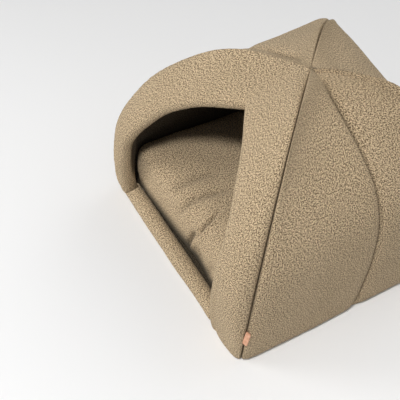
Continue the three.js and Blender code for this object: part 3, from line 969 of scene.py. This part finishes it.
class Nodes:
    """Shorthand for building a material's nodes."""

    def __init__(self, name):
        self.material = bpy.data.materials.new(name)
        self.material.use_nodes = True
        self.tree = self.material.node_tree
        self.shader = self.tree.nodes["Principled BSDF"]

    def add(self, kind, **values):
        """A node with values for its sockets and settings."""
        node = self.tree.nodes.new(kind)
        for key, value in values.items():
            if key in node.inputs:
                node.inputs[key].default_value = value
            else:
                setattr(node, key, value)
        return node

    def join(self, source, target):
        self.tree.links.new(source, target)

    def texture(self, kind, place, **values):
        """A texture that is read at a place."""
        node = self.add(kind, **values)
        self.join(place, node.inputs["Vector"])
        return node

    def math(self, operation, a, b):
        """An operation on a socket and another socket or a number."""
        node = self.add("ShaderNodeMath", operation=operation)
        for socket, value in zip(node.inputs, (a, b)):
            if isinstance(value, (int, float)):
                socket.default_value = value
            else:
                self.join(value, socket)
        return node.outputs[0]

    def ramp(self, source, start, end):
        """A colour that runs from one place and colour to another."""
        node = self.add("ShaderNodeValToRGB")
        self.join(source, node.inputs[0])
        for element, (place, colour) in zip(node.color_ramp.elements, (start, end)):
            element.position = place
            element.color = (*colour, 1)
        return node.outputs[0]

    def multiply(self, a, b):
        """The product of two colours."""
        node = self.add("ShaderNodeMix", data_type="RGBA", blend_type="MULTIPLY", Factor=1.0)
        self.join(a, node.inputs[6])
        self.join(b, node.inputs[7])
        return node.outputs[2]

    def bump(self, height, strength, distance):
        """Lets a height roughen the shader's surface."""
        node = self.add("ShaderNodeBump", Strength=strength, Distance=distance)
        self.join(height, node.inputs["Height"])
        self.join(node.outputs[0], self.shader.inputs["Normal"])

    def finish(self, **values):
        """The material, with values for the shader's own sockets. An underscore stands for a space."""
        for key, value in values.items():
            self.shader.inputs[key.replace("_", " ")].default_value = value
        return self.material


WHITE = (1.0, 1.0, 1.0)
# how dark the pile is drawn on the hood's inner side and where shade is painted, against the rest
DARK_PILE_AND_PAINTED_SHADE_TONE = (0.14, 0.14, 0.14)
# curls and loops of the pile: how many in a metre, and how much they count in its height
CURLS = {"scale": 450.0, "share": 1.3}
LOOPS = {"scale": 520.0, "share": 0.35}
# how far the loops are pushed about
DRIFT = {"scale": 260.0, "reach": (0.004, 0.004, 0)}
# the pile's heights at which it is drawn dark and light: the low gaps between curls get painted shade
TONES = (0.2, 0.8)
# large uneven patches
PATCHES = {"scale": 9.0, "dark": (0.3, (0.94, 0.94, 0.93)), "light": (0.7, WHITE)}
# the leather's grain and mottling in a metre, and its dark and light tone
LEATHER = {"grain": 1400.0, "mottle": 160.0}
LEATHER_TONES = ((0.3, (0.56, 0.27, 0.15)), (0.7, (0.72, 0.40, 0.26)))


def boucle(name, dark, light):
    """Looped pile: small round curls with painted shade in the gaps between them, in uneven tones."""
    n = Nodes(name)
    place = n.add("ShaderNodeTexCoord").outputs["UV"]

    def clouds(scale, detail):
        return n.texture("ShaderNodeTexNoise", place, noise_dimensions="2D", Scale=scale, Detail=detail)

    drift = clouds(DRIFT["scale"], detail=1.0)
    pushed = n.add("ShaderNodeVectorMath", operation="MULTIPLY_ADD")
    n.join(drift.outputs["Color"], pushed.inputs[0])
    pushed.inputs[1].default_value = DRIFT["reach"]
    n.join(place, pushed.inputs[2])
    curls = clouds(CURLS["scale"], detail=0.0)
    loops = n.texture("ShaderNodeTexVoronoi", pushed.outputs[0], voronoi_dimensions="2D",
                      Scale=LOOPS["scale"])
    curled = n.math("MULTIPLY", curls.outputs["Fac"], CURLS["share"])
    looped = n.math("MULTIPLY", loops.outputs["Distance"], LOOPS["share"])
    height = n.math("SUBTRACT", curled, looped)
    # the tone follows the pile's height: the curls' own pattern, with painted shade in the gaps between them
    tone = n.ramp(height, (TONES[0], dark), (TONES[1], light))
    patches = clouds(PATCHES["scale"], detail=3.0)
    uneven = n.ramp(patches.outputs["Fac"], PATCHES["dark"], PATCHES["light"])
    # drawn darker on the hood's inner side, along the seams, and where shade is painted
    dark_pile_and_painted_shade = n.add("ShaderNodeAttribute", attribute_name="dark_pile_and_painted_shade")
    deep = n.ramp(dark_pile_and_painted_shade.outputs["Fac"], (0.0, WHITE), (1.0, DARK_PILE_AND_PAINTED_SHADE_TONE))
    n.join(n.multiply(n.multiply(tone, uneven), deep), n.shader.inputs["Base Color"])
    n.bump(height, strength=0.7, distance=0.002)
    return n.finish(Roughness=0.95, Specular_IOR_Level=0.15, Sheen_Weight=0.12, Sheen_Roughness=0.6,
                    Sheen_Tint=(0.95, 0.84, 0.66, 1))


def leather(name):
    """Fine-grained leather in mottled tan."""
    n = Nodes(name)
    place = n.add("ShaderNodeTexCoord").outputs["Object"]
    grain = n.texture("ShaderNodeTexVoronoi", place, Scale=LEATHER["grain"])
    mottle = n.texture("ShaderNodeTexNoise", place, Scale=LEATHER["mottle"], Detail=4.0)
    tone = n.ramp(mottle.outputs["Fac"], *LEATHER_TONES)
    n.join(tone, n.shader.inputs["Base Color"])
    n.bump(grain.outputs["Distance"], strength=0.25, distance=0.0003)
    return n.finish(Roughness=0.55)


WALL_CLOTH = boucle("wall_boucle", dark=(0.13, 0.090, 0.051), light=(0.73, 0.560, 0.357))
INNER_CLOTH = boucle("inner_boucle", dark=(0.15, 0.104, 0.060), light=(0.70, 0.537, 0.342))
TAG_LEATHER = leather("tag_leather")


# Pieces

def finish_piece(piece, node, material):
    """Gives a piece its material, hangs it on the root body, and hides the part of the frame that it stands
    for.
    """
    piece.data.materials.append(material)
    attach(piece, "root")
    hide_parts(node)
    return piece


front = finish_piece(front_panel("front_arch"), "front_panel", WALL_CLOTH)
for side in ("right", "left"):
    for half, low, high in (("front", -1, MIDDLE_SEAM), ("rear", MIDDLE_SEAM, 1)):
        node = f"{side}_{half}_panel"
        piece = wall_panel(f"{side}_{half}_wall", side, low, high, SIDE_POINTS)
        finish_piece(piece, node, WALL_CLOTH)
back = finish_piece(wall_panel("back_wall", "back", -1, 1, BACK_POINTS), "back_panel", WALL_CLOTH)
roll = finish_piece(sill("sill_roll"), "sill", WALL_CLOTH)
pad = finish_piece(floor_pad("floor"), "floor_pad", INNER_CLOTH)
pillow = finish_piece(cushion("loose_cushion"), "cushion", INNER_CLOTH)
label = finish_piece(tag("seam_tag"), "tag", TAG_LEATHER)


# Stage, light and camera

FLOOR_RADIUS, FLOOR_TOP, FLOOR_CORNERS = 2.0, -0.0005, 128
FLOOR_WHITE = (0.86, 0.86, 0.86, 1)
FLOOR_ROUGHNESS = 0.8
WORLD_LIGHT = 0.005
BACKDROP = 0.62
# azimuth from the front towards the right and elevation in degrees, size and power of each lamp
LAMPS = {
    "key": (34, 59, 0.34, 56),
    "right": (90, 42, 4.0, 16),
    "back": (180, 42, 4.0, 35),
    "rear_left": (-135, 42, 4.0, 13),
    "front": (0, 25, 4.0, 19),
    "low_left": (-30, 16, 1.2, 36),
}
LAMP_DISTANCE = 3.0
LIT = Vector((0, 0, 0.1))
# the camera fitted to the photograph, its angles in degrees and its lens in millimetres
CAMERA = {"place": (0.7663, -0.7291, 1.3078), "down": 50.3, "yaw": -55.3, "roll": -5.8}
LENS = 71.95
CLIP_START, CLIP_END = 0.01, 100

scene = bpy.context.scene
scene.view_settings.view_transform = "Standard"


def round_floor(name):
    """A plain pale disc under the bed."""
    turns = [2 * math.pi * k / FLOOR_CORNERS for k in range(FLOOR_CORNERS)]
    rim = [(FLOOR_RADIUS * math.cos(turn), FLOOR_RADIUS * math.sin(turn), FLOOR_TOP) for turn in turns]
    mesh = bpy.data.meshes.new(name)
    mesh.from_pydata(rim, [], [list(range(len(rim)))])
    mesh.materials.append(Nodes("studio_white").finish(Base_Color=FLOOR_WHITE, Roughness=FLOOR_ROUGHNESS))
    disc = bpy.data.objects.new(name, mesh)
    scene.collection.objects.link(disc)
    return disc


def studio_world():
    """A faint even light, and a pale backdrop that only the camera sees."""
    world = bpy.data.worlds.new("studio")
    world.use_nodes = True
    tree = world.node_tree
    faint = tree.nodes["Background"]
    pale = tree.nodes.new("ShaderNodeBackground")
    for node, strength in ((faint, WORLD_LIGHT), (pale, BACKDROP)):
        node.inputs["Color"].default_value = (1, 1, 1, 1)
        node.inputs["Strength"].default_value = strength
    seen = tree.nodes.new("ShaderNodeLightPath")
    mix = tree.nodes.new("ShaderNodeMixShader")
    for source, socket in zip((seen.outputs["Is Camera Ray"], faint.outputs[0], pale.outputs[0]), mix.inputs):
        tree.links.new(source, socket)
    tree.links.new(mix.outputs[0], tree.nodes["World Output"].inputs["Surface"])
    return world


def area_light(name, azimuth, elevation, size, power):
    """A round lamp that shines on the bed from a direction."""
    turn, rise = math.radians(azimuth), math.radians(elevation)
    way = Vector((math.sin(turn) * math.cos(rise), -math.cos(turn) * math.cos(rise), math.sin(rise)))
    data = bpy.data.lights.new(name, "AREA")
    data.shape = "DISK"
    data.size = size
    data.energy = power
    light = bpy.data.objects.new(name, data)
    light.location = LIT + way * LAMP_DISTANCE
    light.rotation_mode = "QUATERNION"
    light.rotation_quaternion = (LIT - light.location).to_track_quat("-Z", "Y")
    scene.collection.objects.link(light)


def photo_camera():
    """The camera at the photograph's place and angle."""
    down, yaw, tilt = (math.radians(CAMERA[key]) for key in ("down", "yaw", "roll"))
    ahead = Vector((math.sin(yaw) * math.cos(down), math.cos(yaw) * math.cos(down), -math.sin(down)))
    level = Vector((math.cos(yaw), -math.sin(yaw), 0))
    under = ahead.cross(level)
    right = level * math.cos(tilt) + under * math.sin(tilt)
    below = under * math.cos(tilt) - level * math.sin(tilt)
    data = bpy.data.cameras.new("camera")
    data.lens = LENS
    data.clip_start = CLIP_START
    data.clip_end = CLIP_END
    camera = bpy.data.objects.new("camera", data)
    turn = Matrix((right, -below, -ahead)).transposed()
    camera.matrix_world = Matrix.Translation(CAMERA["place"]) @ turn.to_4x4()
    scene.collection.objects.link(camera)
    return camera


studio_floor = round_floor("studio_floor")
scene.world = studio_world()
for lamp, settings in LAMPS.items():
    area_light(lamp, *settings)
scene.camera = photo_camera()
